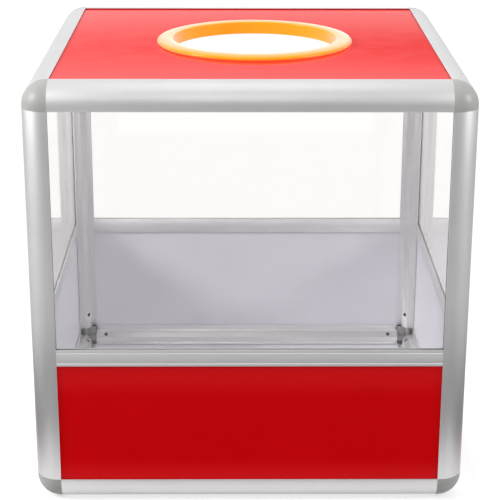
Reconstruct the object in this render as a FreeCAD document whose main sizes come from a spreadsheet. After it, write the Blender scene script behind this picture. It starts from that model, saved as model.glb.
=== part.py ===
import FreeCAD, Part
import os
import Sketcher
from FreeCAD import Placement, Rotation, Vector

# Raffle box: a cube of slotted quarter-round aluminium bars and three-way corners that holds
# clear sheets over red ones, with a ring-lined hand hole in the red top.
# The row frame has its origin on the ground under the middle of the box, X to the right,
# Y to the back and Z up. All sizes are in millimetres.

doc = FreeCAD.newDocument("raffle_box")

# Driving dimensions
dimensions = {
    # Outside of the frame
    "box_width": 400,
    "box_depth": 400,
    "box_height": 400,
    # Section of an edge bar, measured inwards from its two outer planes
    "bar_width": 24,
    "bar_wall": 1.3,
    "edge_flat": 2,
    "slot_width": 4.2,
    "slot_depth": 6.5,
    "inner_lip": 1.5,
    "lip_reach": 5.4,
    "bevel": 5.5,
    "bevel_wall": 2.8,
    # Section of a mid bar and the height of its middle
    "mid_height": 16,
    "mid_level": 146.5,
    "mid_web": 2,
    "mid_groove": 0.5,
    "mid_groove_inset": 3,
    # Sheets
    "panel_thickness": 4,
    "window_thickness": 4,
    "panel_gap": 0.1,
    "edge_gap": 0.4,
    # Three-way corner
    "leg_length": 28,
    "leg_gap": 0.2,
    "leg_wall": 1.5,
    "web_thickness": 1.6,
    # Set screws and their holes
    "screw_diameter": 4,
    "screw_length": 3,
    "screw_gap": 0.1,
    "seat_depth": 0.8,
    "post_screw_inset": 16,
    "rail_screw_inset": 11,
    # Hand hole and its ring
    "hole_offset_x": 5.5,
    "hole_offset_y": -1,
    "ring_bore": 158.4,
    "ring_outer": 190,
    "ring_height": 5.1,
    "ring_foot": 186,
    "ring_crown_radius": 22,
    "ring_crown_inset": 6.5,
    "ring_shoulder_radius": 2.6,
    "ring_mouth_radius": 1.2,
    "sleeve_wall": 2,
    "sleeve_drop": 3.5,
    "sleeve_gap": 0.5,
}

sheet = doc.addObject("Spreadsheet::Sheet", "Sizes")
for row, (alias, value) in enumerate(dimensions.items(), start=1):
    sheet.set("A%d" % row, alias)
    sheet.set("B%d" % row, str(value))
    sheet.setAlias("B%d" % row, alias)
doc.recompute()


class Size:
    """A length: its number draws the geometry, and its text binds the geometry to the sheet."""

    def __init__(self, number, text):
        self.number = float(number)
        self.text = text

    def joined(self, sign, other, number):
        return Size(number, "(%s %s %s)" % (self.text, sign, plain(other).text))

    def __add__(self, other):
        return self.joined("+", other, self.number + plain(other).number)

    def __sub__(self, other):
        return self.joined("-", other, self.number - plain(other).number)

    def __mul__(self, other):
        return self.joined("*", other, self.number * plain(other).number)

    def __truediv__(self, other):
        return self.joined("/", other, self.number / plain(other).number)

    def __neg__(self):
        return Size(-self.number, "(-%s)" % self.text)

    def root(self):
        return Size(self.number ** 0.5, "sqrt(%s)" % self.text)


def plain(value):
    """A bare number as a Size, and a Size as it is."""
    if isinstance(value, Size):
        return value
    return Size(value, repr(float(value)))


def cell(alias):
    """The size that one cell of the sheet holds."""
    return Size(getattr(sheet, alias), "Sizes." + alias)


NIL = plain(0)
ROOT_2 = plain(2).root()

half_width = cell("box_width") / 2
half_depth = cell("box_depth") / 2
box_height = cell("box_height")
bar_width = cell("bar_width")
bar_wall = cell("bar_wall")

# Places inside the bar's section, each a distance from an outer plane
bar_radius = bar_width - cell("edge_flat")
slot_far_side = bar_wall + cell("slot_width")
slot_floor = bar_width - cell("slot_depth")
lip_face = slot_far_side + cell("inner_lip")
body_face = bar_width - cell("lip_reach")
bevel_start = body_face - cell("bevel")
bevel_middle = (body_face + bevel_start) / 2

# The hollow inside the bar that takes a corner's leg
hollow_side = slot_floor - bar_wall
hollow_face = body_face - bar_wall
hollow_radius = bar_radius - bar_wall
hollow_bevel_middle = bevel_middle - cell("bevel_wall") / ROOT_2
hollow_bevel_start = hollow_bevel_middle * 2 - hollow_face


def bind(thing, path, size):
    """Tie one property of an object to the sheet."""
    thing.setExpression(path, size.text)


def put(thing, x, y, z, rotation=Rotation()):
    """Place an object by a fixed turn and a place that follows the sheet."""
    thing.Placement = Placement(Vector(x.number, y.number, z.number), rotation)
    bind(thing, "Placement.Base.x", x)
    bind(thing, "Placement.Base.y", y)
    bind(thing, "Placement.Base.z", z)


def new_body(label):
    body = doc.addObject("PartDesign::Body", label)
    body.Label = label
    return body


def new_sketch(body, name, role, shift=(NIL, NIL, NIL), turn=Rotation()):
    """A sketch on one of the body's own origin planes, moved and turned in that plane's axes."""
    sketch = body.newObject("Sketcher::SketchObject", name)
    plane = [feature for feature in body.Origin.OriginFeatures if feature.Role == role][0]
    sketch.AttachmentSupport = [(plane, "")]
    sketch.MapMode = "FlatFace"
    sketch.AttachmentOffset = Placement(Vector(*[size.number for size in shift]), turn)
    for axis, size in zip("xyz", shift):
        if size is not NIL:
            bind(sketch, "AttachmentOffset.Base." + axis, size)
    return sketch


def hold(sketch, kind, size, *where):
    """Add one dimension to a sketch and tie it to the sheet."""
    index = sketch.addConstraint(Sketcher.Constraint(kind, *where, size.number))
    sketch.setExpression("Constraints[%d]" % index, size.text)


def pin_point(sketch, geometry, end, x, y):
    """Fix a point of the sketch; None leaves that coordinate to the curve that the point is on."""
    if x is not None:
        hold(sketch, "DistanceX", x, -1, 1, geometry, end)
    if y is not None:
        hold(sketch, "DistanceY", y, -1, 1, geometry, end)


class Arc:
    """A stretch of outline that turns round a centre; held says whether the sketch fixes that centre."""

    def __init__(self, centre_x, centre_y, radius, clockwise=True, held=False):
        self.centre = (centre_x, centre_y)
        self.radius = radius
        self.clockwise = clockwise
        self.held = held

    def curve(self, start, stop):
        middle = Vector(self.centre[0].number, self.centre[1].number, 0)
        circle = Part.Circle(middle, Vector(0, 0, 1), self.radius.number)
        if self.clockwise:
            start, stop = stop, start
        return Part.ArcOfCircle(circle, circle.parameter(start), circle.parameter(stop))

    def ends(self):
        return (2, 1) if self.clockwise else (1, 2)


def outline(sketch, *path):
    """Draw a closed outline from its corners (x, y), with an Arc between two corners where it is round.

    A corner on a held arc gives the number of its free coordinate as a third item.
    """
    corners = [item for item in path if not isinstance(item, Arc)]
    points = []
    for corner in corners:
        x, y = [size.number if size else corner[2] for size in corner[:2]]
        points.append(Vector(x, y, 0))
    arcs = {}
    count = -1
    for item in path:
        if isinstance(item, Arc):
            arcs[count] = item
        else:
            count += 1
    first = sketch.GeometryCount
    ends = []
    for index, start in enumerate(points):
        stop = points[(index + 1) % len(points)]
        arc = arcs.get(index)
        sketch.addGeometry(arc.curve(start, stop) if arc else Part.LineSegment(start, stop), False)
        ends.append(arc.ends() if arc else (1, 2))
    for index, corner in enumerate(corners):
        before = (index - 1) % len(corners)
        sketch.addConstraint(Sketcher.Constraint(
            "Coincident", first + before, ends[before][1], first + index, ends[index][0]))
        pin_point(sketch, first + index, ends[index][0], corner[0], corner[1])
    for index, arc in arcs.items():
        hold(sketch, "Radius", arc.radius, first + index)
        if arc.held:
            pin_point(sketch, first + index, 3, *arc.centre)


def rectangle(sketch, low_x, low_y, high_x, high_y):
    outline(sketch, (low_x, low_y), (high_x, low_y), (high_x, high_y), (low_x, high_y))


def circle(sketch, x, y, radius):
    index = sketch.addGeometry(Part.Circle(Vector(x.number, y.number, 0), Vector(0, 0, 1), radius.number), False)
    hold(sketch, "Radius", radius, index)
    pin_point(sketch, index, 3, x, y)


def pad(body, name, sketch, length, both_ways=False, reverse=False):
    feature = body.newObject("PartDesign::Pad", name)
    feature.Profile = sketch
    feature.Length = length.number
    bind(feature, "Length", length)
    feature.SideType = "Symmetric" if both_ways else "One side"
    feature.Reversed = reverse
    sketch.Visibility = False
    return feature


def pocket(body, name, sketch, depth):
    feature = body.newObject("PartDesign::Pocket", name)
    feature.Profile = sketch
    feature.Length = depth.number
    bind(feature, "Length", depth)
    sketch.Visibility = False
    return feature


def hollow_outline(sketch, gap):
    """The bar's inner hollow, or with a gap the leg that slides into it."""
    side = hollow_side - gap
    step = lip_face + gap
    face = hollow_face - gap
    corner = hollow_bevel_start - gap * (ROOT_2 - plain(1))
    radius = hollow_radius - gap
    on_arc = (bar_radius - (radius * radius - (bar_radius - side) * (bar_radius - side)).root()).number
    outline(
        sketch,
        (side, None, on_arc),
        (side, step),
        (face, step),
        (face, corner),
        (corner, face),
        (step, face),
        (step, side),
        (None, side, on_arc),
        Arc(bar_radius, bar_radius, radius, clockwise=False, held=True),
    )


# Edge bars: one extruded section, cut to length, with a tapped hole for a set screw at each end.
# The bar's own X and Y point from the edge of the box into its two sides, and Z runs along it.

screw_radius = cell("screw_diameter") / 2
drill_through = cell("bevel_wall") * 1.5


def edge_bar(label, length, screw_inset, place, inwards):
    bar = new_body(label)
    section = new_sketch(bar, label + "_section", "XY_Plane")
    wide, wall, inner = bar_width, bar_wall, slot_far_side
    outline(
        section,
        (wide, NIL),
        (bar_radius, NIL),
        Arc(bar_radius, bar_radius, bar_radius),
        (NIL, bar_radius),
        (NIL, wide),
        (wall, wide),
        (wall, slot_floor),
        (inner, slot_floor),
        (inner, wide),
        (lip_face, wide),
        (lip_face, body_face),
        (bevel_start, body_face),
        (body_face, bevel_start),
        (body_face, lip_face),
        (wide, lip_face),
        (wide, inner),
        (slot_floor, inner),
        (slot_floor, wall),
        (wide, wall),
    )
    hollow_outline(section, NIL)
    pad(bar, label + "_extrusion", section, length, both_ways=True)
    drill = new_sketch(
        bar, label + "_drill", "XZ_Plane", (bevel_middle, NIL, -bevel_middle), Rotation(Vector(0, 1, 0), 135))
    for end in (1, -1):
        circle(drill, NIL, (length / 2 - screw_inset) * end, screw_radius)
    pocket(bar, label + "_screw_holes", drill, drill_through)
    first, second = [Vector(*direction) for direction in inwards]
    put(bar, *place, Rotation(first, second, first.cross(second), "XYZ"))
    return bar


parts = []

SIDES = {"left": -1, "right": 1}
ENDS = {"front": -1, "rear": 1}
LEVELS = {"bottom": 0, "top": 1}

post_length = box_height - bar_width * 2
rail_length_x = (half_width - bar_width) * 2
rail_length_y = (half_depth - bar_width) * 2

for end, y_sign in ENDS.items():
    for side, x_sign in SIDES.items():
        parts.append(edge_bar(
            "post_%s_%s" % (end, side), post_length, cell("post_screw_inset"),
            (half_width * x_sign, half_depth * y_sign, box_height / 2), ((-x_sign, 0, 0), (0, -y_sign, 0))))

for level, top in LEVELS.items():
    inside = (0, 0, 1 - 2 * top)
    for end, y_sign in ENDS.items():
        parts.append(edge_bar(
            "%s_rail_%s" % (level, end), rail_length_x, cell("rail_screw_inset"),
            (NIL, half_depth * y_sign, box_height * top), ((0, -y_sign, 0), inside)))
    for side, x_sign in SIDES.items():
        parts.append(edge_bar(
            "%s_rail_%s" % (level, side), rail_length_y, cell("rail_screw_inset"),
            (half_width * x_sign, NIL, box_height * top), ((-x_sign, 0, 0), inside)))


# Three-way corners: a thin ball-cornered shell that carries on the bars' outer skin, three tubular legs
# that slide into the bars' hollows, and three flat webs that tie each pair of legs together.
# The corner's own axes start at the corner of the box and point into it along the three bars.

web_face = bevel_start - cell("leg_gap")
web_back = web_face - cell("web_thickness")
web_end = bar_width - cell("leg_gap")
shell_middle = bar_radius - bar_wall / 2
web_lean = bar_radius - web_back
web_root = bar_radius - ((shell_middle * shell_middle - web_lean * web_lean) / 2).root()
leg_root = hollow_side
leg_reach = bar_width + cell("leg_length")
leg_bevel = hollow_bevel_middle - cell("leg_gap") / ROOT_2


def faces_at(shape, reach):
    """Names of a block's three flat faces that look into the box."""
    names = []
    for number, face in enumerate(shape.Faces, start=1):
        centre = face.CenterOfMass
        if max(centre.x, centre.y, centre.z) > reach - 0.001:
            names.append("Face%d" % number)
    return names


def edges_from_tip(shape):
    """Names of a block's three edges that meet at the corner of the box."""
    names = []
    for number, edge in enumerate(shape.Edges, start=1):
        if min(vertex.Point.Length for vertex in edge.Vertexes) < 0.001:
            names.append("Edge%d" % number)
    return names


def corner_piece(label, place, inwards):
    corner = new_body(label)
    square = new_sketch(corner, label + "_square", "XY_Plane")
    rectangle(square, NIL, NIL, bar_width, bar_width)
    block = pad(corner, label + "_block", square, bar_width)
    doc.recompute()

    ball = corner.newObject("PartDesign::Fillet", label + "_ball")
    ball.Base = (block, edges_from_tip(block.Shape))
    ball.Radius = bar_radius.number
    bind(ball, "Radius", bar_radius)
    doc.recompute()

    shell = corner.newObject("PartDesign::Thickness", label + "_shell")
    shell.Base = (ball, faces_at(ball.Shape, bar_width.number))
    shell.Value = bar_wall.number
    bind(shell, "Value", bar_wall)
    shell.Reversed = True
    shell.Join = "Intersection"

    # Each leg: the plane that its section lies in, the way out of that plane, and the plane, shift and
    # turn that lay a sketch on its bevel for the set screw's seat
    seat = leg_bevel
    legs = {
        "x": ("YZ_Plane", 1, "XY_Plane", (NIL, seat, seat), Rotation(Vector(1, 0, 0), -45)),
        "y": ("XZ_Plane", -1, "XY_Plane", (seat, NIL, seat), Rotation(Vector(0, 1, 0), 45)),
        "z": ("XY_Plane", 1, "XZ_Plane", (seat, NIL, -seat), Rotation(Vector(0, 1, 0), 135)),
    }
    for axis, (plane, way, seat_plane, seat_shift, seat_turn) in legs.items():
        section = new_sketch(corner, "%s_leg_%s_section" % (label, axis), plane, (NIL, NIL, leg_root * way))
        hollow_outline(section, cell("leg_gap"))
        hollow_outline(section, cell("leg_gap") + cell("leg_wall"))
        pad(corner, "%s_leg_%s" % (label, axis), section, leg_reach - leg_root, reverse=way < 0)

        web = new_sketch(corner, "%s_web_%s_outline" % (label, axis), plane, (NIL, NIL, web_back * way))
        rectangle(web, web_root, web_root, web_end, web_end)
        pad(corner, "%s_web_%s" % (label, axis), web, cell("web_thickness"), reverse=way < 0)

        inset = cell("post_screw_inset") if axis == "z" else cell("rail_screw_inset")
        along = bar_width + inset
        spot = new_sketch(corner, "%s_seat_%s_outline" % (label, axis), seat_plane, seat_shift, seat_turn)
        circle(spot, along if axis == "x" else NIL, NIL if axis == "x" else along, screw_radius)
        pocket(corner, "%s_seat_%s" % (label, axis), spot, cell("seat_depth"))

    first, second, third = [Vector(*direction) for direction in inwards]
    put(corner, *place, Rotation(first, second, third, "XYZ"))
    return corner


for level, top in LEVELS.items():
    for end, y_sign in ENDS.items():
        for side, x_sign in SIDES.items():
            across, back = (-x_sign, 0, 0), (0, -y_sign, 0)
            up = (0, 0, 1 - 2 * top)
            # The corner is the same on both sides of its diagonal, so its two level legs may change places
            level_axes = (across, back) if x_sign * y_sign * up[2] > 0 else (back, across)
            parts.append(corner_piece(
                "corner_%s_%s_%s" % (level, end, side),
                (half_width * x_sign, half_depth * y_sign, box_height * top), (*level_axes, up)))


# Mid bars: an H section whose two channels take the clear sheet above and the red one below.
# Its flanges butt against the posts' lips, and its web runs on into their slots.
# The bar's own X runs along it, Y points into the box and Z is up, from the middle of its web.

mid_half = cell("mid_height") / 2
web_half = cell("mid_web") / 2
tongue_gap = cell("leg_gap") / 2
mid_low = cell("mid_level") - mid_half


def mid_bar(label, length, place, turn):
    bar = new_body(label)
    section = new_sketch(bar, label + "_section", "YZ_Plane")
    groove = cell("mid_groove")
    groove_top = mid_half - cell("mid_groove_inset") + groove
    groove_low = mid_half - cell("mid_groove_inset") - groove
    outline(
        section,
        (NIL, mid_half),
        (NIL, groove_top),
        (groove, groove_top - groove),
        (NIL, groove_low),
        (NIL, -groove_low),
        (groove, groove - groove_top),
        (NIL, -groove_top),
        (NIL, -mid_half),
        (bar_wall, -mid_half),
        (bar_wall, -web_half),
        (slot_far_side, -web_half),
        (slot_far_side, -mid_half),
        (lip_face, -mid_half),
        (lip_face, mid_half),
        (slot_far_side, mid_half),
        (slot_far_side, web_half),
        (bar_wall, web_half),
        (bar_wall, mid_half),
    )
    pad(bar, label + "_extrusion", section, length, both_ways=True)
    tongue = new_sketch(bar, label + "_tongue_section", "YZ_Plane")
    rectangle(tongue, bar_wall + tongue_gap, -web_half, slot_far_side - tongue_gap, web_half)
    pad(bar, label + "_tongues", tongue, length + (cell("slot_depth") - cell("edge_gap")) * 2, both_ways=True)
    put(bar, *place, Rotation(Vector(0, 0, 1), turn))
    return bar


for end, y_sign in ENDS.items():
    parts.append(mid_bar(
        "mid_rail_" + end, rail_length_x, (NIL, half_depth * y_sign, cell("mid_level")), 90 + 90 * y_sign))
for side, x_sign in SIDES.items():
    parts.append(mid_bar(
        "mid_rail_" + side, rail_length_y, (half_width * x_sign, NIL, cell("mid_level")), 90 * x_sign))


# Sheets: each is cut to reach the floors of the slots around it, less a gap at its loose edges, and
# its corners are clipped where they would meet the ball of a three-way corner.

edge_inset = slot_floor + cell("edge_gap")
span_x = (half_width - edge_inset) * 2
span_y = (half_depth - edge_inset) * 2
corner_clip = bar_radius + bar_width - edge_inset * 2 + cell("leg_gap")
UP = Vector(0, 0, 1)


def sheet_piece(label, width, height, thickness, clipped, place, facing=UP, hole=None):
    """A flat sheet, drawn about its middle; facing is the way from its outer face to its inner one."""
    piece = new_body(label)
    drawing = new_sketch(piece, label + "_outline", "XY_Plane")
    wide, high = width / 2, height / 2
    corners = []
    for x_sign, y_sign in ((-1, -1), (1, -1), (1, 1), (-1, 1)):
        level_end = ((wide - corner_clip) * x_sign, high * y_sign)
        upright_end = (wide * x_sign, (high - corner_clip) * y_sign)
        if y_sign not in clipped:
            corners.append((wide * x_sign, high * y_sign))
        elif x_sign == y_sign:
            corners.extend([upright_end, level_end])
        else:
            corners.extend([level_end, upright_end])
    outline(drawing, *corners)
    if hole:
        circle(drawing, *hole)
    pad(piece, label + "_sheet", drawing, thickness)
    turn = Rotation() if facing is UP else Rotation(UP.cross(facing), UP, facing, "XYZ")
    put(piece, *place, turn)
    return piece


def wall_sheets(name, thickness, inset, low, high, clipped):
    """The same sheet in all four sides: how thick, how far in from the outside, and its two levels."""
    middle = (low + high) / 2
    for end, y_sign in ENDS.items():
        parts.append(sheet_piece(
            "%s_%s" % (name, end), span_x, high - low, thickness, clipped,
            (NIL, (half_depth - inset) * y_sign, middle), Vector(0, -y_sign, 0)))
    for side, x_sign in SIDES.items():
        parts.append(sheet_piece(
            "%s_%s" % (name, side), span_y, high - low, thickness, clipped,
            ((half_width - inset) * x_sign, NIL, middle), Vector(-x_sign, 0, 0)))


# The clear sheets stand on the mid bars' webs and the red ones on the bottom bars
window_low = cell("mid_level") + web_half
window_high = box_height - edge_inset
panel_high = cell("mid_level") - web_half - cell("edge_gap")
wall_sheets("window", cell("window_thickness"), bar_wall + cell("panel_gap"), window_low, window_high, (1,))
wall_sheets("lower_panel", cell("panel_thickness"), bar_wall + cell("panel_gap"), slot_floor, panel_high, (-1,))

# The floor lies on the bottom bars' outer lips
parts.append(sheet_piece(
    "floor_panel", span_x, span_y, cell("panel_thickness"), (-1, 1), (NIL, NIL, bar_wall)))

# The top sheet lies on the top bars' inner lips, and its hand hole is a little off its middle
top_low = box_height - slot_far_side
top_high = top_low + cell("panel_thickness")
bore_radius = cell("ring_bore") / 2
sleeve_radius = bore_radius + cell("sleeve_wall")
hole_radius = sleeve_radius + cell("sleeve_gap")
hole_x, hole_y = cell("hole_offset_x"), cell("hole_offset_y")
parts.append(sheet_piece(
    "top_panel", span_x, span_y, cell("panel_thickness"), (-1, 1), (NIL, NIL, top_low),
    hole=(hole_x, hole_y, hole_radius)))


# Hand ring: a moulded flange with a crowned top that rests on the top sheet, and a thin sleeve that
# drops through the hole, all one turned section. Its own origin is on the sheet's upper face.

def ring_piece(label):
    ring = new_body(label)
    section = new_sketch(ring, label + "_section", "XZ_Plane")
    outer = cell("ring_outer") / 2
    foot = cell("ring_foot") / 2
    crown = cell("ring_crown_radius")
    shoulder = cell("ring_shoulder_radius")
    mouth = cell("ring_mouth_radius")
    drop = -(cell("sleeve_drop") + cell("panel_thickness"))

    # The crown runs smoothly into the mouth's small radius and into the broader outer shoulder
    crown_x = bore_radius + cell("ring_crown_inset")
    crown_level = cell("ring_height") - crown

    def meet(centre_x, radius):
        """The level of a rounded edge's centre, and the point where it runs into the crown."""
        span = centre_x - crown_x
        rise = ((crown - radius) * (crown - radius) - span * span).root()
        stretch = crown / (crown - radius)
        return crown_level + rise, crown_x + span * stretch, crown_level + rise * stretch

    mouth_x, shoulder_x = bore_radius + mouth, outer - shoulder
    mouth_level, mouth_meet_x, mouth_meet_level = meet(mouth_x, mouth)
    side, shoulder_meet_x, shoulder_meet_level = meet(shoulder_x, shoulder)

    # Below its widest line the flange curves in to a foot that is flat on the sheet
    reach = outer - foot
    under = (reach * reach + side * side) / (side * 2)
    outline(
        section,
        (bore_radius, drop),
        (bore_radius, mouth_level),
        Arc(mouth_x, mouth_level, mouth),
        (mouth_meet_x, mouth_meet_level),
        Arc(crown_x, crown_level, crown),
        (shoulder_meet_x, shoulder_meet_level),
        Arc(shoulder_x, side, shoulder),
        (outer, side),
        Arc(foot, under, under),
        (foot, NIL),
        (sleeve_radius, NIL),
        (sleeve_radius, drop),
    )
    turned = ring.newObject("PartDesign::Revolution", label + "_turning")
    turned.Profile = section
    turned.ReferenceAxis = (section, ["V_Axis"])
    turned.Angle = 360
    section.Visibility = False
    put(ring, hole_x, hole_y, top_high)
    return ring


parts.append(ring_piece("hand_ring"))


# Set screws: one in each bar end, run in until it bites on the seat in the corner's leg.

def set_screw(name, place, direction):
    screw = doc.addObject("Part::Cylinder", name)
    bind(screw, "Radius", screw_radius - cell("screw_gap"))
    bind(screw, "Height", cell("screw_length"))
    put(screw, *place, Rotation(Vector(0, 0, 1), Vector(*direction)))
    return screw


seat_floor = leg_bevel - cell("seat_depth") / ROOT_2
screws = []
for level, top in LEVELS.items():
    for end, y_sign in ENDS.items():
        for side, x_sign in SIDES.items():
            inward = (-x_sign, -y_sign, 1 - 2 * top)
            tip = (half_width * x_sign, half_depth * y_sign, box_height * top)
            for along in range(3):
                inset = cell("post_screw_inset") if along == 2 else cell("rail_screw_inset")
                steps = [bar_width + inset if axis == along else seat_floor for axis in range(3)]
                place = [tip[axis] + steps[axis] * inward[axis] for axis in range(3)]
                direction = [0 if axis == along else inward[axis] for axis in range(3)]
                screws.append(set_screw("screw_%s_%s_%s_%d" % (level, end, side, along), place, direction))

set_screws = doc.addObject("Part::Compound", "set_screws")
set_screws.Label = "set_screws"
set_screws.Links = screws
parts.append(set_screws)

doc.recompute()

for thing in doc.Objects:
    faults = {"Invalid", "Error"} & set(thing.State)
    if faults:
        raise RuntimeError("%s is %s" % (thing.Name, ", ".join(sorted(faults))))
for part in parts:
    if part.Shape.isNull() or not part.Shape.isValid() or not part.Shape.Solids:
        raise RuntimeError("%s has no valid solid" % part.Label)

os.makedirs("parts", exist_ok=True)
for part in parts:
    part.Shape.exportStep("parts/%s.step" % part.Label)
    print("%-28s %3d solids %10.1f mm3" % (part.Label, len(part.Shape.Solids), part.Shape.Volume))
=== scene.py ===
import math

import bmesh
import bpy
from mathutils import Matrix, Vector


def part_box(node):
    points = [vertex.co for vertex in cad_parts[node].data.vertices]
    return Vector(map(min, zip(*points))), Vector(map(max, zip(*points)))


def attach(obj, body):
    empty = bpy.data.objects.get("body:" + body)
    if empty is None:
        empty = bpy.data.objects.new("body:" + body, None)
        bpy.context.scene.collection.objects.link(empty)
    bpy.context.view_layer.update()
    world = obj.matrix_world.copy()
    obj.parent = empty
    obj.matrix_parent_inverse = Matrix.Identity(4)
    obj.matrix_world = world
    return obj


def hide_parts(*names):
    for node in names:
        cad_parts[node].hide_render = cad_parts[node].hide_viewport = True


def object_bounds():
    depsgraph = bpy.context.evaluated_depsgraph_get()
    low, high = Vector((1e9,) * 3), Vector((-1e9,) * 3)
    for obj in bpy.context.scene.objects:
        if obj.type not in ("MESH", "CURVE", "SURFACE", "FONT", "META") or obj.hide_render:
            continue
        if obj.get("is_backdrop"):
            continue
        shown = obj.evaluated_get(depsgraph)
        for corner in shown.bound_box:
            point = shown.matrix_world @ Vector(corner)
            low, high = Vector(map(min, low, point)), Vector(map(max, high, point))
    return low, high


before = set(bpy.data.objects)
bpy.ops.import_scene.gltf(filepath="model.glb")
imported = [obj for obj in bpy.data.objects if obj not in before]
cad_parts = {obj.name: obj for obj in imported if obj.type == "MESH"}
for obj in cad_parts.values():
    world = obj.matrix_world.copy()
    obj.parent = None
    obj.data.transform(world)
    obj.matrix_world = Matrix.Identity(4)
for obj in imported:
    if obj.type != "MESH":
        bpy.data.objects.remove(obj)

cad_low, cad_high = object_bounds()

# Edge bars
# Twelve lengths of one slotted quarter-round aluminium extrusion, sawn square, deburred and satin
# anodised. Two slots take the sheets, and the hollow takes the legs of the three-way corners.

post_low, post_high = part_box("post_front_left")
bar_width = post_high.x - post_low.x
edge_flat = 0.002
bar_radius = bar_width - edge_flat
bar_wall = 0.0013
# The slots are 0.4 mm wider to each side than in the solids, for the dark line beside each sheet.
slot_near_side = 0.0009
slot_far_side = 0.0059
slot_depth = 0.0065
slot_floor = bar_width - slot_depth
lip_face = 0.0070
lip_height = 0.0054
body_face = bar_width - lip_height
bevel_size = 0.0055
bevel_start = body_face - bevel_size
bevel_wall = 0.0028
hollow_radius = bar_radius - bar_wall
hollow_side = slot_floor - bar_wall
hollow_face = body_face - bar_wall
hollow_bevel_start = bevel_start + body_face - bevel_wall * math.sqrt(2) - hollow_face
rim_radius = 0.0004
bar_ease = 0.00025
screw_hole_radius = 0.002
post_screw_inset = 0.016
rail_screw_inset = 0.011

# How finely the arcs are drawn, and how near two levels or two faces' directions count as the same.
skin_steps = 20
hollow_steps = 12
rim_steps = 4
same_level = 1e-6
finish_margin = 0.0001
eased_angle = math.radians(25)
creased_angle = math.radians(28)
outer_side, highlit_lip, inner_side, slot_side, hole_wall = range(5)


def start_run(bm, x, y):
    """Start an outline at a point and give that point."""
    return bm.verts.new((x, y, 0))


def run_to(bm, vert, *corners):
    """Carry an outline on in straight lines and give its last point."""
    for corner in corners:
        step = start_run(bm, *corner)
        bm.edges.new((vert, step))
        vert = step
    return vert


def turn_round(bm, vert, centre, degrees, steps):
    """Carry an outline on along an arc and give its last point."""
    swept = bmesh.ops.spin(
        bm, geom=[vert], cent=(*centre, 0), axis=(0, 0, 1), angle=math.radians(degrees), steps=steps)
    return swept["geom_last"][0]


def round_tip(bm, vert, first_centre, last_centre, degrees):
    """Carry an outline on round a lip's tip: two small arcs with a short flat between them."""
    vert = turn_round(bm, vert, first_centre, degrees, rim_steps)
    flat = [last - first for first, last in zip(first_centre, last_centre)]
    vert = run_to(bm, vert, (vert.co.x + flat[0], vert.co.y + flat[1]))
    return turn_round(bm, vert, last_centre, degrees, rim_steps)


def mirrored(run):
    """A run mirrored in the line x = y, and drawn back from its end."""
    return [(y, x) for x, y in reversed(run)]


def hollow_run(bm, gap):
    """The bar's inner hollow, or with a gap the leg that slides into it."""
    side = hollow_side - gap
    step = lip_face + gap
    face = hollow_face - gap
    corner = hollow_bevel_start - gap * (math.sqrt(2) - 1)
    radius = hollow_radius - gap
    swing = math.asin((bar_radius - side) / radius)
    on_arc = bar_radius - radius * math.cos(swing)
    half = [(step, side), (step, face), (corner, face)]
    first = start_run(bm, side, on_arc)
    last = turn_round(bm, first, (bar_radius, bar_radius), 2 * math.degrees(swing) - 90, hollow_steps)
    last = run_to(bm, last, *half, *mirrored(half))
    bm.edges.new((last, first))


def pull_out(bm, distance):
    """Extrude a flat mesh upwards by a distance, with its faces outwards."""
    pulled = bmesh.ops.extrude_face_region(bm, geom=bm.faces[:])
    moved = [item for item in pulled["geom"] if isinstance(item, bmesh.types.BMVert)]
    bmesh.ops.translate(bm, verts=moved, vec=(0, 0, distance))
    bmesh.ops.recalc_face_normals(bm, faces=bm.faces[:])


def fill_and_extrude(bm, low, high):
    """Fill the outlines drawn at level 0 and pull them out between two levels."""
    bmesh.ops.triangle_fill(bm, use_beauty=True, edges=bm.edges[:])
    bmesh.ops.translate(bm, verts=bm.verts[:], vec=(0, 0, low))
    pull_out(bm, high - low)


def ease_edges(bm, size, wanted=lambda edge: True):
    """Round every sharp edge that is wanted by a small radius."""
    sharp = [edge for edge in bm.edges if len(edge.link_faces) == 2
             and edge.calc_face_angle(0) > eased_angle and wanted(edge)]
    bmesh.ops.bevel(
        bm, geom=sharp, offset=size, affect="EDGES", segments=2, profile=0.5, material=-1,
        clamp_overlap=True)


def add_circle(bm, radius, segments, stand):
    """Draw a circle at a stand, with nothing filled in, and give its edges in their order."""
    made = bmesh.ops.create_circle(bm, cap_ends=False, radius=radius, segments=segments, matrix=stand)
    return list(dict.fromkeys(edge for vert in made["verts"] for edge in vert.link_edges))


def faces_towards(bm, direction, level):
    """The faces that look in a direction and lie at one level along it."""
    return [face for face in bm.faces
            if face.normal.dot(direction) > 0.999
            and abs(face.calc_center_median().dot(direction) - level) < same_level]


def cut_patch(bm, direction, level, low, high):
    """Cut a short length out of a long flat face that looks in one direction, and give its rim."""
    for height in (low, high):
        faces = faces_towards(bm, direction, level)
        around = dict.fromkeys(item for face in faces for item in (face, *face.edges, *face.verts))
        bmesh.ops.bisect_plane(bm, geom=list(around), plane_co=(0, 0, height), plane_no=(0, 0, 1))
    middle = (low + high) / 2
    patch = [face for face in faces_towards(bm, direction, level)
             if abs(face.calc_center_median().z - middle) < same_level]
    before = {edge for edge in bm.edges if edge.is_boundary}
    bmesh.ops.delete(bm, geom=patch, context="FACES_ONLY")
    return [edge for edge in bm.edges if edge.is_boundary and edge not in before]


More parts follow.
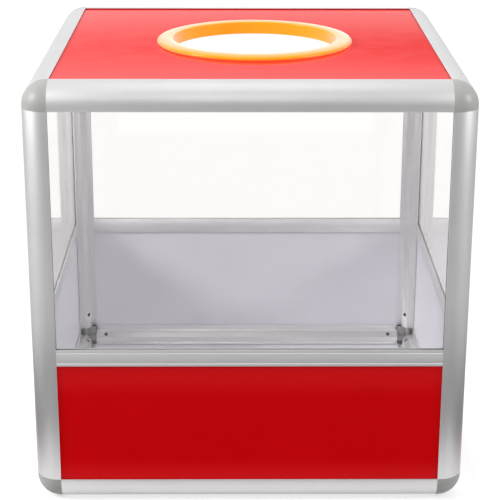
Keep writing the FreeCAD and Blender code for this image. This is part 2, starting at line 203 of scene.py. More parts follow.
def drill(bm, height):
    """A round screw hole through the bevel, from the face that looks into the box to the hollow."""
    out = Vector((1, 1, 0)).normalized()
    front = (body_face + bevel_start) / math.sqrt(2)
    back = front - bevel_wall
    patch_half = screw_hole_radius * 1.6
    stand = out.to_track_quat("Z", "Y").to_matrix().to_4x4()
    rims = []
    circles = []
    for direction, level in ((out, front), (-out, -back)):
        rims.append(cut_patch(bm, direction, level, height - patch_half, height + patch_half))
        stand.translation = out * abs(level) + Vector((0, 0, height))
        circles.append(add_circle(bm, screw_hole_radius, segments=32, stand=stand))
    for rim, circle in zip(rims, circles):
        bmesh.ops.triangle_fill(bm, use_beauty=True, edges=rim + circle)
    wall = bmesh.ops.bridge_loops(bm, edges=circles[0] + circles[1])["faces"]
    bmesh.ops.recalc_face_normals(bm, faces=bm.faces[:])
    # The hole's wall takes the near-black copy of the finish: painted shadow.
    for face in wall:
        face.material_index = hole_wall
    bmesh.ops.bevel(
        bm, geom=circles[0], offset=bar_ease, affect="EDGES", segments=2, profile=0.5, material=-1)


def in_section(vert):
    """A point's place in a bar's section, to a thousandth of a millimetre."""
    return round(vert.co.x, 6), round(vert.co.y, 6)


def bar_section(length, screw_inset):
    """One edge bar, its edge along Z and its two sides along X and Y."""
    bm = bmesh.new()
    hollow_run(bm, 0)
    hollow = {in_section(vert) for vert in bm.verts}
    lip_end = bar_width - rim_radius
    tip = [(rim_radius, lip_end), (slot_near_side - rim_radius, lip_end)]
    half = [
        (slot_near_side, slot_floor), (slot_far_side, slot_floor), (slot_far_side, bar_width),
        (lip_face, bar_width), (lip_face, body_face), (bevel_start, body_face)]
    first = start_run(bm, bar_radius, 0)
    last = turn_round(bm, first, (bar_radius, bar_radius), -90, skin_steps)
    last = run_to(bm, last, (0, lip_end))
    last = round_tip(bm, last, *tip, -90)
    last = run_to(bm, last, *half, *mirrored(half), (lip_end, slot_near_side))
    last = round_tip(bm, last, *mirrored(tip), -90)
    bm.edges.new((last, first))
    fill_and_extrude(bm, -length / 2, length / 2)
    ease_edges(bm, bar_ease, lambda edge: all(in_section(vert) not in hollow for vert in edge.verts))
    for end in (-1, 1):
        drill(bm, end * (length / 2 - screw_inset))
    for face in bm.faces:
        if face.material_index == hole_wall:
            continue
        x, y, z = face.calc_center_median()
        across, deep = sorted((x, y))
        in_slot = slot_near_side - finish_margin < across < slot_far_side + finish_margin
        # The slot walls take the dark copy of the finish: painted shade.
        if in_slot and deep > slot_floor - finish_margin:
            face.material_index = slot_side
        # The lip tips take the lighter copy of the finish: a painted highlight.
        elif across < slot_near_side and deep > lip_end:
            face.material_index = highlit_lip
        # Faces that look into the box take the darker copy of the finish: painted shade.
        elif x + y > bevel_start + body_face - finish_margin:
            face.material_index = inner_side
        else:
            face.material_index = outer_side
    return bm


def facing_in(node):
    """A node's corner that lies furthest out, and the way from it into the box along each axis."""
    low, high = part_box(node)
    centre = (cad_low + cad_high) / 2
    corner = Vector((0, 0, 0))
    ways = [Vector((0, 0, 0)) for axis in range(3)]
    for axis in range(3):
        inwards = (low + high)[axis] / 2 < centre[axis]
        corner[axis] = low[axis] if inwards else high[axis]
        ways[axis][axis] = 1 if inwards else -1
    return corner, ways


def stand_at(place, *ways):
    """The transform that starts at a place and lays X, Y and Z along three ways."""
    stand = Matrix(ways).transposed().to_4x4()
    stand.translation = place
    return stand


def set_down(bm, stand):
    """Move a mesh to its stand, and keep its faces outwards where that mirrors it."""
    bmesh.ops.transform(bm, matrix=stand, verts=bm.verts[:])
    if stand.determinant() < 0:
        bmesh.ops.reverse_faces(bm, faces=bm.faces[:])


def finish_piece(bm, name, finishes, body, node):
    """Make a shown piece of a finished mesh, which stands for a CAD node and rides on its body."""
    mesh = bpy.data.meshes.new(name)
    bm.to_mesh(mesh)
    bm.free()
    mesh.polygons.foreach_set("use_smooth", [True] * len(mesh.polygons))
    mesh.set_sharp_from_angle(angle=creased_angle)
    for finish in finishes:
        mesh.materials.append(finish)
    piece = bpy.data.objects.new(name, mesh)
    bpy.context.scene.collection.objects.link(piece)
    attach(piece, body)
    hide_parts(node)


def new_material(name):
    """An empty material: its node tree, its shader and the piece's own coordinates."""
    material = bpy.data.materials.new(name)
    material.use_nodes = True
    tree = material.node_tree
    shader = tree.nodes["Principled BSDF"]
    place = tree.nodes.new("ShaderNodeTexCoord").outputs["Object"]
    return material, tree, shader, place


def scaled(tree, place, scale):
    """Coordinates stretched by a scale for each axis."""
    mapping = tree.nodes.new("ShaderNodeMapping")
    mapping.inputs["Scale"].default_value = scale
    tree.links.new(place, mapping.inputs["Vector"])
    return mapping.outputs["Vector"]


def noise(tree, place, scale, detail=3.0):
    """A soft random value from 0 to 1 over the coordinates given."""
    texture = tree.nodes.new("ShaderNodeTexNoise")
    texture.inputs["Scale"].default_value = scale
    texture.inputs["Detail"].default_value = detail
    texture.inputs["Roughness"].default_value = 0.5
    tree.links.new(place, texture.inputs["Vector"])
    return texture.outputs["Fac"]


def spread(tree, value, low, high, start=0.3, stop=0.7):
    """Map a value from the range start to stop into the range low to high."""
    mapped = tree.nodes.new("ShaderNodeMapRange")
    mapped.inputs["From Min"].default_value = start
    mapped.inputs["From Max"].default_value = stop
    mapped.inputs["To Min"].default_value = low
    mapped.inputs["To Max"].default_value = high
    tree.links.new(value, mapped.inputs["Value"])
    return mapped.outputs["Result"]


def blend_colours(tree, factor, first, second):
    """A colour between two, by a factor from 0 to 1."""
    mix = tree.nodes.new("ShaderNodeMix")
    mix.data_type = "RGBA"
    for name, colour in (("A_Color", first), ("B_Color", second)):
        socket = [one for one in mix.inputs if one.identifier == name][0]
        if isinstance(colour, tuple):
            socket.default_value = (*colour, 1)
        else:
            tree.links.new(colour, socket)
    tree.links.new(factor, [one for one in mix.inputs if one.identifier == "Factor_Float"][0])
    return [one for one in mix.outputs if one.identifier == "Result_Color"][0]


def raise_surface(tree, shader, height, strength, distance):
    """Bump the shader's surface by a height."""
    bump = tree.nodes.new("ShaderNodeBump")
    bump.inputs["Strength"].default_value = strength
    bump.inputs["Distance"].default_value = distance
    tree.links.new(height, bump.inputs["Height"])
    tree.links.new(bump.outputs["Normal"], shader.inputs["Normal"])


die_line_scale = 1400.0
along_scale = 6.0


def satin_aluminium(name, run, shades, gloss):
    """Satin anodised aluminium with fine die lines along its run."""
    material, tree, shader, place = new_material(name + "_" + "xyz"[run])
    stretch = [die_line_scale] * 3
    stretch[run] = along_scale
    lines = noise(tree, scaled(tree, place, stretch), scale=1.0, detail=2.0)
    cloud = noise(tree, place, scale=24.0)
    low, middle, high = [(shade, shade, shade + 0.005) for shade in shades]
    shade = blend_colours(tree, spread(tree, cloud, 0, 1), middle, high)
    shade = blend_colours(tree, spread(tree, lines, 0, 0.35), shade, low)
    tree.links.new(shade, shader.inputs["Base Color"])
    tree.links.new(spread(tree, lines, *gloss), shader.inputs["Roughness"])
    shader.inputs["Metallic"].default_value = 1.0
    raise_surface(tree, shader, lines, strength=0.12, distance=0.00003)
    return material


bar_finishes = [
    [satin_aluminium("satin_aluminium", run, shades=(0.72, 0.77, 0.81), gloss=(0.42, 0.50)),
     # A lighter, glossier copy for the lip tips: a painted highlight.
     satin_aluminium("highlight_aluminium", run, shades=(0.82, 0.87, 0.90), gloss=(0.28, 0.36)),
     # A darker copy for the faces that look into the box: painted shade.
     satin_aluminium("shaded_inside_aluminium", run, shades=(0.55, 0.59, 0.62), gloss=(0.42, 0.50)),
     # A dark copy for the slots' walls: painted shade.
     satin_aluminium("shaded_slot_aluminium", run, shades=(0.24, 0.28, 0.31), gloss=(0.60, 0.70)),
     # A near-black copy for the screw holes' walls: painted shadow.
     satin_aluminium("shadow_hole_aluminium", run, shades=(0.010, 0.012, 0.014), gloss=(0.60, 0.70))]
    for run in range(3)]


def edge_bar(node, screw_inset):
    """One bar, along the axis that its node is longest in and with its edge on the box's edge."""
    low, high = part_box(node)
    run = max(range(3), key=lambda axis: (high - low)[axis])
    edge, ways = facing_in(node)
    edge[run] = ((low + high) / 2)[run]
    first, second = [ways[axis] for axis in range(3) if axis != run]
    bm = bar_section((high - low)[run], screw_inset)
    set_down(bm, stand_at(edge, first, second, first.cross(second)))
    finish_piece(bm, node + "_bar", bar_finishes[run], "box", node)


for end in ("front", "rear"):
    for side in ("left", "right"):
        edge_bar("post_%s_%s" % (end, side), post_screw_inset)
for level in ("bottom", "top"):
    for side in ("front", "rear", "left", "right"):
        edge_bar("%s_rail_%s" % (level, side), rail_screw_inset)


# Three-way corners
# Eight mouldings in grey plastic that carry on the bars' round skin, with a leg for each bar's hollow
# and flat webs between the legs. Each bar is pushed on over its leg and held by a set screw.

leg_gap = 0.0002
leg_length = 0.028
leg_wall = 0.0015
web_thickness = 0.0016
web_face = bevel_start - leg_gap
web_root = 0.009
leg_ease = 0.0002
shell_skin, leg_side, shell_inside = range(3)
turn_to_axis = [
    Matrix(((0, 0, 1), (1, 0, 0), (0, 1, 0))).to_4x4(),
    Matrix(((0, 1, 0), (0, 0, 1), (1, 0, 0))).to_4x4(),
    Matrix.Identity(4)]


def ball_shell():
    """The outer skin: a block's corner rounded to a ball, opened inwards and given its wall."""
    bm = bmesh.new()
    bmesh.ops.create_cube(bm, size=bar_width)
    bmesh.ops.translate(bm, verts=bm.verts[:], vec=(bar_width / 2,) * 3)
    tip = [vert for vert in bm.verts if vert.co.length < same_level][0]
    bmesh.ops.bevel(
        bm, geom=tip.link_edges[:], offset=bar_radius, affect="EDGES", segments=skin_steps,
        profile=0.5, material=-1, clamp_overlap=False)
    inner = [face for face in bm.faces if max(face.calc_center_median()) > bar_width - same_level]
    bmesh.ops.delete(bm, geom=inner, context="FACES")
    bmesh.ops.recalc_face_normals(bm, faces=bm.faces[:])
    skin = set(bm.faces)
    bmesh.ops.solidify(bm, geom=bm.faces[:], thickness=bar_wall)
    bmesh.ops.recalc_face_normals(bm, faces=bm.faces[:])
    # The shell's inside takes the near-black copy of the grey: painted shadow.
    for face in bm.faces:
        hidden = face not in skin and max(face.calc_center_median()) < bar_width - same_level
        face.material_index = shell_inside if hidden else shell_skin
    return bm


def add_part(bm, part):
    """Join a part's mesh to a piece's mesh and let the part go."""
    keep = bpy.data.meshes.new("part")
    part.to_mesh(keep)
    part.free()
    bm.from_mesh(keep)
    bpy.data.meshes.remove(keep)


def add_to_corner(bm, part, axis):
    """Ease a part that is drawn along Z, turn it to run along an axis and join it to the corner."""
    ease_edges(part, leg_ease)
    # Legs and webs take the darker copy of the grey: painted shade.
    for face in part.faces:
        face.material_index = leg_side
    part.transform(turn_to_axis[axis])
    add_part(bm, part)


def corner_mesh():
    """A corner at the origin, with its three legs along X, Y and Z."""
    bm = ball_shell()
    span = bar_width - leg_gap - web_root
    middle = web_root + span / 2
    for axis in range(3):
        leg = bmesh.new()
        hollow_run(leg, leg_gap)
        hollow_run(leg, leg_gap + leg_wall)
        fill_and_extrude(leg, hollow_side, bar_width + leg_length)
        add_to_corner(bm, leg, axis)
        web = bmesh.new()
        bmesh.ops.create_cube(web, size=1)
        bmesh.ops.scale(web, verts=web.verts[:], vec=(span, span, web_thickness))
        bmesh.ops.translate(web, verts=web.verts[:], vec=(middle, middle, web_face - web_thickness / 2))
        add_to_corner(bm, web, axis)
    return bm


def mottle(tree, shader, value, first, second):
    """Vary the surface's colour between two by a soft random value."""
    tree.links.new(
        blend_colours(tree, spread(tree, value, 0, 1), first, second), shader.inputs["Base Color"])


def vary_gloss(tree, shader, value, low, high):
    """Vary the surface's roughness between two by a soft random value."""
    tree.links.new(spread(tree, value, low, high), shader.inputs["Roughness"])


def moulded_plastic(name, pale, dark, roughness, grain):
    """Moulded plastic with a faint grain and a little unevenness in its colour and gloss."""
    material, tree, shader, place = new_material(name)
    cloud = noise(tree, place, scale=60.0)
    fine = noise(tree, place, scale=grain, detail=2.0)
    mottle(tree, shader, cloud, pale, dark)
    vary_gloss(tree, shader, cloud, roughness * 0.85, roughness * 1.15)
    raise_surface(tree, shader, fine, strength=0.15, distance=0.00003)
    return material


corner_grain = 1500.0
corner_finishes = [
    moulded_plastic(
        "grey_plastic", pale=(0.44, 0.44, 0.425), dark=(0.40, 0.40, 0.385), roughness=0.42,
        grain=corner_grain),
    # A darker copy for the legs and webs, deep in the corner: painted shade.
    moulded_plastic(
        "shaded_grey_plastic", pale=(0.28, 0.28, 0.275), dark=(0.23, 0.23, 0.225), roughness=0.42,
        grain=corner_grain),
    # A near-black copy for the inside of the shell: painted shadow.
    moulded_plastic(
        "shadow_black_plastic", pale=(0.03, 0.03, 0.03), dark=(0.02, 0.02, 0.02), roughness=0.60,
        grain=corner_grain)]
corner_nodes = [
    "corner_%s_%s_%s" % (level, end, side)
    for level in ("bottom", "top") for end in ("front", "rear") for side in ("left", "right")]

for node in corner_nodes:
    tip, ways = facing_in(node)
    bm = corner_mesh()
    set_down(bm, stand_at(tip, *ways))
    finish_piece(bm, node + "_moulding", corner_finishes, "box", node)


# Mid bars
# Four lengths of an H-section extrusion in the same satin aluminium. The channel above holds a clear
# sheet, the channel below a red one, and the web runs on at each end as a tongue into a post's slot.
# Two fine grooves run along the outer face.

mid_low, mid_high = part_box("mid_rail_front")
mid_half = (mid_high.z - mid_low.z) / 2
mid_length = cad_high.x - cad_low.x - 2 * bar_width
web_half = 0.001
groove_depth = 0.0005
groove_inset = 0.003
tongue_gap = leg_gap / 2
tongue_end_gap = 0.0004
tongue_reach = slot_depth - tongue_end_gap


def other_half(run):
    """A run mirrored in the web's middle, and drawn back from its end."""
    return [(-x, y) for x, y in reversed(run)]


def mid_section():
    """A mid bar that runs along X, its outer face at y = 0 and its web at z = 0."""
    bm = bmesh.new()
    groove = mid_half - groove_inset
    lip_end = mid_half - rim_radius
    tip = [(lip_end, rim_radius), (lip_end, slot_near_side - rim_radius)]
    channel = [
        (web_half, slot_near_side), (web_half, slot_far_side), (mid_half, slot_far_side),
        (mid_half, lip_face)]
    first = start_run(bm, groove - groove_depth, 0)
    last = run_to(bm, first, (groove, groove_depth), (groove + groove_depth, 0), (lip_end, 0))
    last = round_tip(bm, last, *tip, 90)
    last = run_to(bm, last, *channel, *other_half(channel), (-lip_end, slot_near_side))
    last = round_tip(bm, last, *other_half(tip), 90)
    last = run_to(bm, last, (-groove - groove_depth, 0), (-groove, groove_depth), (groove_depth - groove, 0))
    bm.edges.new((last, first))
    fill_and_extrude(bm, -mid_length / 2, mid_length / 2)
    ease_edges(bm, bar_ease, lambda edge: abs(edge.verts[0].co.x) > web_half * 2)
    for face in bm.faces:
        x, y, z = face.calc_center_median()
        in_slot = slot_near_side - finish_margin < y < slot_far_side + finish_margin
        # The channels take the darker inside copy of the finish: painted shade.
        if in_slot and abs(x) > web_half - finish_margin:
            face.material_index = slot_side
        # The lip tips take the lighter copy of the finish: a painted highlight.
        elif abs(x) > lip_end and y < slot_near_side:
            face.material_index = highlit_lip
        elif y > slot_far_side:
            face.material_index = inner_side
        # Outer faces take the lighter copy of the finish: painted light.
        else:
            face.material_index = outer_side
    depth = slot_far_side - slot_near_side - 2 * tongue_gap
    middle = (slot_near_side + slot_far_side) / 2
    for end in (-1, 1):
        tongue = bmesh.ops.create_cube(bm, size=1)["verts"]
        bmesh.ops.scale(bm, verts=tongue, vec=(web_half * 2, depth, tongue_reach))
        bmesh.ops.translate(bm, verts=tongue, vec=(0, middle, end * (mid_length + tongue_reach) / 2))
    along_x = Matrix(((0, 0, 1), (0, 1, 0), (-1, 0, 0)))
    bmesh.ops.transform(bm, matrix=along_x.to_4x4(), verts=bm.verts[:])
    return bm


# The channels take the bars' darker inside finish, which is painted shade, as the line along them is a light
# one.
mid_finishes = []
for run in range(2):
    plain, highlit, inside = bar_finishes[run][:3]
    # A lighter copy for the mid bars' outer faces: painted light.
    bright = satin_aluminium("lit_outer_aluminium", run, shades=(0.86, 0.92, 0.95), gloss=(0.42, 0.50))
    mid_finishes.append([bright, highlit, plain, inside])

for side, degrees, run in (("front", 0, 0), ("right", 90, 1), ("rear", 180, 0), ("left", 270, 1)):
    node = "mid_rail_" + side
    low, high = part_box(node)
    turn = math.radians(degrees)
    outward = Vector((math.sin(turn), -math.cos(turn), 0))
    outer_face = max(low.dot(outward), high.dot(outward))
    stand = Matrix.Rotation(turn, 4, "Z")
    stand.translation = outward * outer_face + Vector((0, 0, (low.z + high.z) / 2))
    bm = mid_section()
    set_down(bm, stand)
    finish_piece(bm, node + "_bar", mid_finishes[run], "box", node)


# Clear sheets
# Four clear acrylic sheets that stand on the mid bars' webs and run up into the top bars' slots.
# They are left as sawn, and their faces are flat, bright and very slightly wavy.

def joined(tree, operation, first, second=None):
    """One value from one or two by a Math node."""
    node = tree.nodes.new("ShaderNodeMath")
    node.operation = operation
    for socket, value in zip(node.inputs, (first, second)):
        if isinstance(value, (int, float)):
            socket.default_value = value
        elif value is not None:
            tree.links.new(value, socket)
    return node.outputs[0]


def show_either(tree, factor, first, second):
    """Show one shader, or another as a factor goes from 0 to 1, on the material's surface."""
    mix = tree.nodes.new("ShaderNodeMixShader")
    for socket, value in zip(mix.inputs, (factor, first, second)):
        tree.links.new(value, socket)
    tree.links.new(mix.outputs[0], tree.nodes["Material Output"].inputs["Surface"])


def clear_acrylic(name):
    """Clear to the eye as it is, and to shadows and soft light as a plain see-through sheet."""
    material, tree, shader, place = new_material(name)
    shader.inputs["Base Color"].default_value = (1.0, 0.985, 0.98, 1)
    shader.inputs["Roughness"].default_value = 0.0
    shader.inputs["IOR"].default_value = 1.49
    shader.inputs["Transmission Weight"].default_value = 1.0
    wave = noise(tree, place, scale=9.0, detail=1.0)
    raise_surface(tree, shader, wave, strength=0.05, distance=0.0002)
    paths = tree.nodes.new("ShaderNodeLightPath")
    soft = joined(tree, "MAXIMUM", paths.outputs["Is Shadow Ray"], paths.outputs["Is Diffuse Ray"])
    clear = tree.nodes.new("ShaderNodeBsdfTransparent")
    clear.inputs["Color"].default_value = (0.97, 0.97, 0.97, 1)
    show_either(tree, soft, shader.outputs[0], clear.outputs[0])
    return material


window_finish = clear_acrylic("clear_acrylic")
for side in ("front", "rear", "left", "right"):
    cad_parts["window_" + side].material_slots[0].material = window_finish


# Red sheets
# The lower walls, the floor and the lid are aluminium composite sheet: a plastic core between two
# thin skins, glossy red outside and pale lavender grey inside. They are cut to size, clipped where
# they would meet a corner's ball and slid into the slots. The lid's hand hole is routed out.

sheet_thickness = 0.004
skin_thickness = 0.0005
core_half = sheet_thickness / 2 - skin_thickness
corner_clip = 0.0104
hand_hole_radius = 0.0817
red_side, cut_edge, pale_side = range(3)

ring_low, ring_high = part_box("hand_ring")
ring_middle = (ring_low + ring_high) / 2


def red_paint(name, pale, dark, gloss, tint):
    """Smooth red paint with a slow change of shade and a trace of waviness."""
    material, tree, shader, place = new_material(name)
    mottle(tree, shader, noise(tree, place, scale=14.0), dark, pale)
    vary_gloss(tree, shader, noise(tree, place, scale=45.0), 0.05, 0.08)
    shader.inputs["Specular IOR Level"].default_value = gloss
    shader.inputs["Specular Tint"].default_value = (*tint, 1)
    wave = noise(tree, place, scale=6.0, detail=1.0)
    raise_surface(tree, shader, wave, strength=0.10, distance=0.0004)
    return material


def pale_coat(name):
    """The lavender-grey coat on the inside, half dull and finely grained."""
    material, tree, shader, place = new_material(name)
    cloud = noise(tree, place, scale=20.0)
    mottle(tree, shader, cloud, (0.735, 0.72, 0.773), (0.77, 0.755, 0.808))
    vary_gloss(tree, shader, cloud, 0.35, 0.45)
    grain = noise(tree, place, scale=900.0, detail=2.0)
    raise_surface(tree, shader, grain, strength=0.1, distance=0.00004)
    return material


def core_plastic(name):
    """The dark core, as a saw leaves it."""
    material, tree, shader, place = new_material(name)
    grain = noise(tree, place, scale=700.0)
    mottle(tree, shader, grain, (0.03, 0.03, 0.033), (0.06, 0.06, 0.065))
    shader.inputs["Roughness"].default_value = 0.75
    raise_surface(tree, shader, grain, strength=0.4, distance=0.0001)
    return material


def composite_sheet(node, normal_axis, outward, clipped, finishes, hole=None):
    """A sheet in three layers, red towards outward, its corners cut off at the clipped ends."""
    low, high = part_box(node)
    middle = (low + high) / 2
    across = [axis for axis in range(3) if axis != normal_axis]
    half = [(high - low)[axis] / 2 for axis in across]
    corners = []
    for x_way, y_way in ((-1, -1), (1, -1), (1, 1), (-1, 1)):
        level_end = ((half[0] - corner_clip) * x_way, half[1] * y_way)
        upright_end = (half[0] * x_way, (half[1] - corner_clip) * y_way)
        if y_way not in clipped:
            corners.append((half[0] * x_way, half[1] * y_way))
        elif x_way == y_way:
            corners.extend([upright_end, level_end])
        else:
            corners.extend([level_end, upright_end])
    bm = bmesh.new()
    first = start_run(bm, *corners[0])
    last = run_to(bm, first, *corners[1:])
    bm.edges.new((last, first))
    if hole:
        hole_centre = Matrix.Translation((hole - middle).to_2d().to_3d())
        add_circle(bm, hand_hole_radius, segments=160, stand=hole_centre)
    fill_and_extrude(bm, -sheet_thickness / 2, sheet_thickness / 2)
    for level in (-core_half, core_half):
        bmesh.ops.bisect_plane(
            bm, geom=bm.verts[:] + bm.edges[:] + bm.faces[:], plane_co=(0, 0, level), plane_no=(0, 0, 1))
    for face in bm.faces:
        level = face.calc_center_median().z * outward
        if level > core_half:
            face.material_index = red_side
        elif level < -core_half:
            face.material_index = pale_side
        else:
            face.material_index = cut_edge
    set_down(bm, stand_at(middle, *[Matrix.Identity(3)[axis] for axis in (*across, normal_axis)]))
    finish_piece(bm, node + "_sheet", finishes, "box", node)


# The lid is the same sheet. Its red is written brighter and less glossy, to match the photograph; the
# brighter red is painted light, for the light that falls on the lid from above.
wall_paint = red_paint(
    "red_paint", pale=(0.83, 0.0003, 0.0018), dark=(0.80, 0.0002, 0.0012), gloss=0.75,
    tint=(1.0, 0.16, 0.2))
lit_lid_paint = red_paint(
    "lit_lid_red_paint", pale=(0.98, 0.036, 0.034), dark=(0.95, 0.032, 0.030), gloss=0.08,
    tint=(1.0, 1.0, 1.0))
bare_sheet = [core_plastic("core_plastic"), pale_coat("pale_coat")]

for side, axis, outward in (("left", 0, -1), ("right", 0, 1), ("front", 1, -1), ("rear", 1, 1)):
    composite_sheet("lower_panel_" + side, axis, outward, (-1,), [wall_paint, *bare_sheet])
composite_sheet("floor_panel", 2, -1, (-1, 1), [wall_paint, *bare_sheet])
composite_sheet("top_panel", 2, 1, (-1, 1), [lit_lid_paint, *bare_sheet], hole=ring_middle)


# Hand ring
# An orange moulding with a crowned flange that rests on the lid and a thin sleeve that lines the hand
# hole. It is pushed in by hand and lifts straight out.

lid_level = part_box("top_panel")[1].z
ring_outer = (ring_high.x - ring_low.x) / 2
ring_height = ring_high.z - lid_level
sleeve_low = ring_low.z - lid_level
sleeve_gap = 0.0005
sleeve_wall = 0.002
sleeve_chamfer = 0.0004
sleeve_radius = hand_hole_radius - sleeve_gap
bore_radius = sleeve_radius - sleeve_wall
foot_radius = 0.093
crown_radius = 0.022
crown_inset = 0.0065
shoulder_radius = 0.0026
mouth_radius = 0.0012


def ring_mesh():
    """The ring's section, drawn in X and Y and then spun about its upright axis."""
    bm = bmesh.new()
    crown = (bore_radius + crown_inset, ring_height - crown_radius)

    def rounding(x, radius):
        """How far the crown leans where it runs into a rounded edge, and that edge's centre."""
        lean = math.asin(abs(x - crown[0]) / (crown_radius - radius))
        return math.degrees(lean), (x, crown[1] + (crown_radius - radius) * math.cos(lean))

    mouth_lean, mouth = rounding(bore_radius + mouth_radius, mouth_radius)
    shoulder_lean, shoulder = rounding(ring_outer - shoulder_radius, shoulder_radius)
    side = shoulder[1]
    reach = ring_outer - foot_radius
    under = (reach * reach + side * side) / (side * 2)
    first = start_run(bm, bore_radius, sleeve_low)
    last = run_to(bm, first, (bore_radius, mouth[1]))
    last = turn_round(bm, last, mouth, mouth_lean - 90, steps=6)
    last = turn_round(bm, last, crown, -mouth_lean - shoulder_lean, steps=12)
    last = turn_round(bm, last, shoulder, shoulder_lean - 90, steps=8)
    last = turn_round(bm, last, (foot_radius, under), -math.degrees(math.asin(reach / under)), steps=8)
    last = run_to(
        bm, last, (sleeve_radius, 0), (sleeve_radius, sleeve_low + sleeve_chamfer),
        (sleeve_radius - sleeve_chamfer, sleeve_low))
    bm.edges.new((last, first))
    bmesh.ops.transform(bm, matrix=Matrix.Rotation(math.pi / 2, 4, "X"), verts=bm.verts[:])
    bmesh.ops.spin(
        bm, geom=bm.verts[:] + bm.edges[:], cent=(0, 0, 0), axis=(0, 0, 1), angle=2 * math.pi, steps=160,
        use_merge=True)
    bmesh.ops.remove_doubles(bm, verts=bm.verts[:], dist=same_level)
    bmesh.ops.recalc_face_normals(bm, faces=bm.faces[:])
    bmesh.ops.translate(bm, verts=bm.verts[:], vec=(ring_middle.x, ring_middle.y, lid_level))
    return bm


# A weak glow is painted light, for the light that comes through the thin moulding, and the sheen is a
# painted highlight along the crown.
ring_finish = moulded_plastic(
    "orange_plastic", pale=(1.0, 0.34, 0.010), dark=(1.0, 0.31, 0.008), roughness=0.16, grain=700.0)
ring_shader = ring_finish.node_tree.nodes["Principled BSDF"]
ring_shader.inputs["Specular IOR Level"].default_value = 0.2
ring_shader.inputs["Emission Color"].default_value = (1.0, 0.34, 0.006, 1)
ring_shader.inputs["Emission Strength"].default_value = 0.3
ring_shader.inputs["Sheen Weight"].default_value = 1.0
ring_shader.inputs["Sheen Roughness"].default_value = 0.4
finish_piece(ring_mesh(), "hand_ring_moulding", [ring_finish], "ring", "hand_ring")


# Set screws
# Twenty-four short steel screws with a hexagon socket, one in each bar's bevel near either end, run
# in below the surface until they bite on the corner's leg.

screw_gap = 0.0001
screw_radius = screw_hole_radius - screw_gap
screw_length = 0.003
screw_ease = 0.0003
socket_radius = 0.00115
socket_depth = 0.0015
bite_depth = 0.0008
leg_bevel = (hollow_bevel_start + hollow_face) / 2 - leg_gap / math.sqrt(2)
seat_floor = leg_bevel - bite_depth / math.sqrt(2)


def screw_mesh():
    """A screw that stands on its point at the origin and looks up along Z."""
    bm = bmesh.new()
    bmesh.ops.create_circle(bm, cap_ends=True, radius=screw_radius, segments=24)
    pull_out(bm, screw_length)
    ease_edges(bm, screw_ease)
    top = max(bm.faces, key=lambda face: face.calc_center_median().z)
    rim = top.edges[:]
    bmesh.ops.delete(bm, geom=[top], context="FACES_ONLY")
    head = Matrix.Translation((0, 0, screw_length))
    socket = add_circle(bm, socket_radius, segments=6, stand=head)
    bmesh.ops.bridge_loops(bm, edges=rim + socket)
    floor = bmesh.ops.extrude_edge_only(bm, edges=socket)
    low = [item for item in floor["geom"] if isinstance(item, bmesh.types.BMVert)]
    bmesh.ops.translate(bm, verts=low, vec=(0, 0, -socket_depth))
    bmesh.ops.contextual_create(bm, geom=low)
    bmesh.ops.recalc_face_normals(bm, faces=bm.faces[:])
    return bm


def blackened_steel(name):
    """Dark steel with a very fine grain."""
    material, tree, shader, place = new_material(name)
    grain = noise(tree, place, scale=2500.0)
    mottle(tree, shader, grain, (0.006, 0.006, 0.007), (0.012, 0.012, 0.013))
    vary_gloss(tree, shader, grain, 0.28, 0.42)
    shader.inputs["Metallic"].default_value = 1.0
    return material


screws = bmesh.new()
for node in corner_nodes:
    tip, ways = facing_in(node)
    for along in range(3):
        step = Vector((seat_floor,) * 3)
        step[along] = bar_width + (post_screw_inset if along == 2 else rail_screw_inset)
        look = sum(ways, Vector((0, 0, 0)))
        stand = Matrix.Translation(tip + Vector([step[axis] * look[axis] for axis in range(3)]))
        look[along] = 0
        screw = screw_mesh()
        screw.transform(stand @ look.to_track_quat("Z", "Y").to_matrix().to_4x4())
        add_part(screws, screw)
steel = blackened_steel("blackened_steel")
finish_piece(screws, "set_screw_group", [steel], "box", "set_screws")


# Floor and light
# A white paper floor and a white surround, with a soft lamp overhead and one in front, and a smaller,
# stronger one to each side. What the bars reflect is shaded: a board under the box, a dark gap round
# it and paper beyond, and a surround that is brightest behind, above and to both sides.

board_edge = (0.24, 0.285)
paper_edge = (0.44, 0.48)
shadow_edge = (0.22, 0.26)
board_grey = (0.50, 0.50, 0.50)
gap_grey = (0.17, 0.17, 0.17)
floor_glow = (0.6, 1.1)
board_sheen = (0.4, 0)
clear_white = 1.05

floor_mesh = bmesh.new()
bmesh.ops.create_grid(floor_mesh, x_segments=1, y_segments=1, size=12)
floor_data = bpy.data.meshes.new("studio_floor")
floor_mesh.to_mesh(floor_data)
floor_mesh.free()
floor = bpy.data.objects.new("studio_floor", floor_data)
bpy.context.scene.collection.objects.link(floor)
floor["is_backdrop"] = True


def seen_directly(tree):
    """1 for what the camera sees, also through the clear sheets, and 0 for all other light."""
    paths = tree.nodes.new("ShaderNodeLightPath")
    return joined(tree, "MAXIMUM", paths.outputs["Is Camera Ray"], paths.outputs["Is Transmission Ray"])


def split_up(tree, place):
    """The three parts of a place or a direction."""
    parts = tree.nodes.new("ShaderNodeSeparateXYZ")
    tree.links.new(place, parts.inputs[0])
    return parts.outputs


def blend_values(tree, factor, first, second):
    """A value between two, by a factor from 0 to 1."""
    mix = tree.nodes.new("ShaderNodeMix")
    for name, value in (("Factor", factor), ("A", first), ("B", second)):
        if isinstance(value, float):
            mix.inputs[name].default_value = value
        else:
            tree.links.new(value, mix.inputs[name])
    return mix.outputs["Result"]


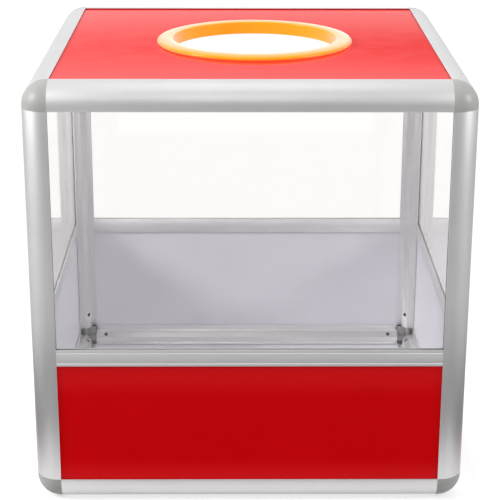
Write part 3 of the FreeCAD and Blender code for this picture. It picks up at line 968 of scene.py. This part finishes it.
def white_floor(name):
    """White to the camera but for the box's shadow; to all else a board, a dark gap and paper."""
    material, tree, shader, place = new_material(name)
    x, y, z = split_up(tree, place)
    seen = seen_directly(tree)
    off_centre = joined(tree, "MAXIMUM", joined(tree, "ABSOLUTE", x), joined(tree, "ABSOLUTE", y))
    off_board = spread(tree, off_centre, 0, 1, *board_edge)
    off_gap = spread(tree, off_centre, 0, 1, *paper_edge)
    beyond = spread(tree, off_centre, 0, 1, *shadow_edge)
    shade = blend_colours(tree, off_board, board_grey, gap_grey)
    shade = blend_colours(tree, off_gap, shade, board_grey)
    tree.links.new(shade, shader.inputs["Base Color"])
    shader.inputs["Roughness"].default_value = 0.9
    shader.inputs["Specular IOR Level"].default_value = 0.0
    glow = joined(tree, "MULTIPLY", spread(tree, beyond, *floor_glow, start=0, stop=1), seen)
    glossy = tree.nodes.new("ShaderNodeLightPath").outputs["Is Glossy Ray"]
    sheen = joined(tree, "MULTIPLY", spread(tree, off_board, *board_sheen, start=0, stop=1), glossy)
    lift = tree.nodes.new("ShaderNodeEmission")
    tree.links.new(joined(tree, "MAXIMUM", glow, sheen), lift.inputs["Strength"])
    lit_board = tree.nodes.new("ShaderNodeAddShader")
    tree.links.new(shader.outputs[0], lit_board.inputs[0])
    tree.links.new(lift.outputs[0], lit_board.inputs[1])
    plain_white = tree.nodes.new("ShaderNodeEmission")
    plain_white.inputs["Strength"].default_value = clear_white
    show_either(tree, joined(tree, "MULTIPLY", beyond, seen), lit_board.outputs[0], plain_white.outputs[0])
    return material


floor_data.materials.append(white_floor("white_floor"))

world = bpy.data.worlds.new("studio_white")
bpy.context.scene.world = world
world.use_nodes = True
sky = world.node_tree
surround = sky.nodes["Background"]
surround.inputs["Color"].default_value = (1, 1, 1, 1)
x, y, z = split_up(sky, sky.nodes.new("ShaderNodeTexCoord").outputs["Generated"])
surround_light = spread(sky, y, 0.35, 1.02, start=0.2, stop=0.9)
from_above = spread(sky, z, 0, 0.24, start=0.5, stop=0.95)
from_left = spread(sky, x, 0.26, 0, start=-0.95, stop=-0.3)
from_right = spread(sky, x, 0, 0.16, start=0.3, stop=0.95)
for part in (from_above, from_left, from_right):
    surround_light = joined(sky, "ADD", surround_light, part)

# A dark band a little above the horizon, darkest to the right, is there only for the bars to reflect.
band_height = 0.197
band_half = 0.03
off_band = joined(sky, "ABSOLUTE", joined(sky, "SUBTRACT", z, band_height))
out_of_band = spread(sky, off_band, 0, 1, start=0, stop=band_half)
in_band = spread(sky, x, 0.3, 0.0, start=-0.15, stop=0.12)
band = blend_values(sky, out_of_band, in_band, 1.0)
surround_light = joined(sky, "MULTIPLY", surround_light, band)
strength = blend_values(sky, seen_directly(sky), surround_light, clear_white)
sky.links.new(strength, surround.inputs["Strength"])


def soft_light(name, place, aim, size, power):
    """A square lamp at a place that faces the point it is aimed at."""
    light = bpy.data.lights.new(name, "AREA")
    light.shape = "RECTANGLE"
    light.size = size
    light.size_y = size
    light.energy = power
    lamp = bpy.data.objects.new(name, light)
    lamp.location = place
    lamp.rotation_mode = "QUATERNION"
    lamp.rotation_quaternion = (Vector(aim) - Vector(place)).to_track_quat("-Z", "Y")
    bpy.context.scene.collection.objects.link(lamp)


soft_light("overhead_light", place=(0, 0.1, 2.2), aim=(0, 0, 0.3), size=1.6, power=4.9)
soft_light("front_light", place=(0, -2.0, 2.0), aim=(0, 0, 0.25), size=1.0, power=4.6)
soft_light("left_light", place=(-1.85, -0.52, 1.28), aim=(0, 0, 0.25), size=0.6, power=30)
soft_light("right_light", place=(1.85, -0.66, 1.20), aim=(0, 0, 0.25), size=0.6, power=16)


# Camera
# A long lens in front of the box and a little above it, which looks down at it by about 19 degrees.
# Its place, lens and turns come from fitting the box's edges to those in the photograph.

lens_length = 111.17
camera_place = (-0.01179, -1.49687, 0.69410)
pitch, yaw, roll = 0.3294, 0.0090, -0.0027

camera_data = bpy.data.cameras.new("camera")
camera_data.sensor_width = 36
camera_data.lens = lens_length
camera_data.clip_start = 0.05
camera = bpy.data.objects.new("camera", camera_data)
bpy.context.scene.collection.objects.link(camera)
ahead = Vector((math.sin(yaw) * math.cos(pitch), math.cos(yaw) * math.cos(pitch), -math.sin(pitch)))
level = Vector((math.cos(yaw), -math.sin(yaw), 0))
down = ahead.cross(level)
right = level * math.cos(roll) + down * math.sin(roll)
down = down * math.cos(roll) - level * math.sin(roll)
camera.matrix_world = stand_at(camera_place, right, -down, -ahead)
bpy.context.scene.camera = camera

bpy.context.scene.view_settings.view_transform = "Standard"

low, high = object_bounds()
